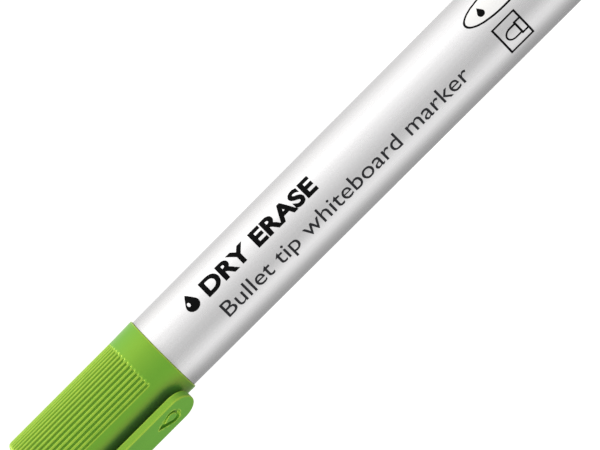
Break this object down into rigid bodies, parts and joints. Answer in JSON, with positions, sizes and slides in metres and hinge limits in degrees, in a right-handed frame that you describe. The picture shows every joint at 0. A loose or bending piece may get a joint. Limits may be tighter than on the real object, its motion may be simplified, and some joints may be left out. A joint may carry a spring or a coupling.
{
  "type": "whiteboard marker",
  "caption": "Capped whiteboard marker with a bullet nib, a satin tube barrel, a ribbed pull-off cap with a flexing pocket clip, an inner cap seal, a fibre reservoir and an end plug.",
  "frame": {"origin": "centre of the end plug's flat face, on which the marker stands", "axes": "+Z along the barrel towards the cap's closed end, -Y towards the clip, +X to the right of the clip seen from outside"},
  "size_m": [0.0162, 0.0185, 0.138],
  "materials": {
    "silver_plastic": "satin silver-white lacquer",
    "green_plastic": "satin moulded",
    "white_plastic": "smooth moulded",
    "nib_fibre": "dense bonded fibre, soaked with green ink",
    "inked_fibre": "open bonded fibre, soaked with green ink",
    "clear_film": "clear film"
  },
  "bodies": {
    "barrel": {"barrel": "silver_plastic", "end_plug": "green_plastic", "reservoir_core": "inked_fibre", "reservoir_film": "clear_film", "front_section": "silver_plastic", "nib": "nib_fibre"},
    "cap": {"cap_shell": "green_plastic", "cap_liner": "white_plastic"},
    "clip": {"clip": "green_plastic"}
  },
  "joints": [
    {"name": "cap_pull", "type": "slide", "parent": "barrel", "child": "cap", "axis": [0, 0, 1], "range_m": [0, 0.045]},
    {"name": "clip_flex", "type": "hinge", "parent": "cap", "child": "clip", "pos_m": [0, -0.00967, 0.1331], "axis": [-1, 0, 0], "range_deg": [0, 8], "stiffness_Nm_per_rad": 0.5}
  ]
}
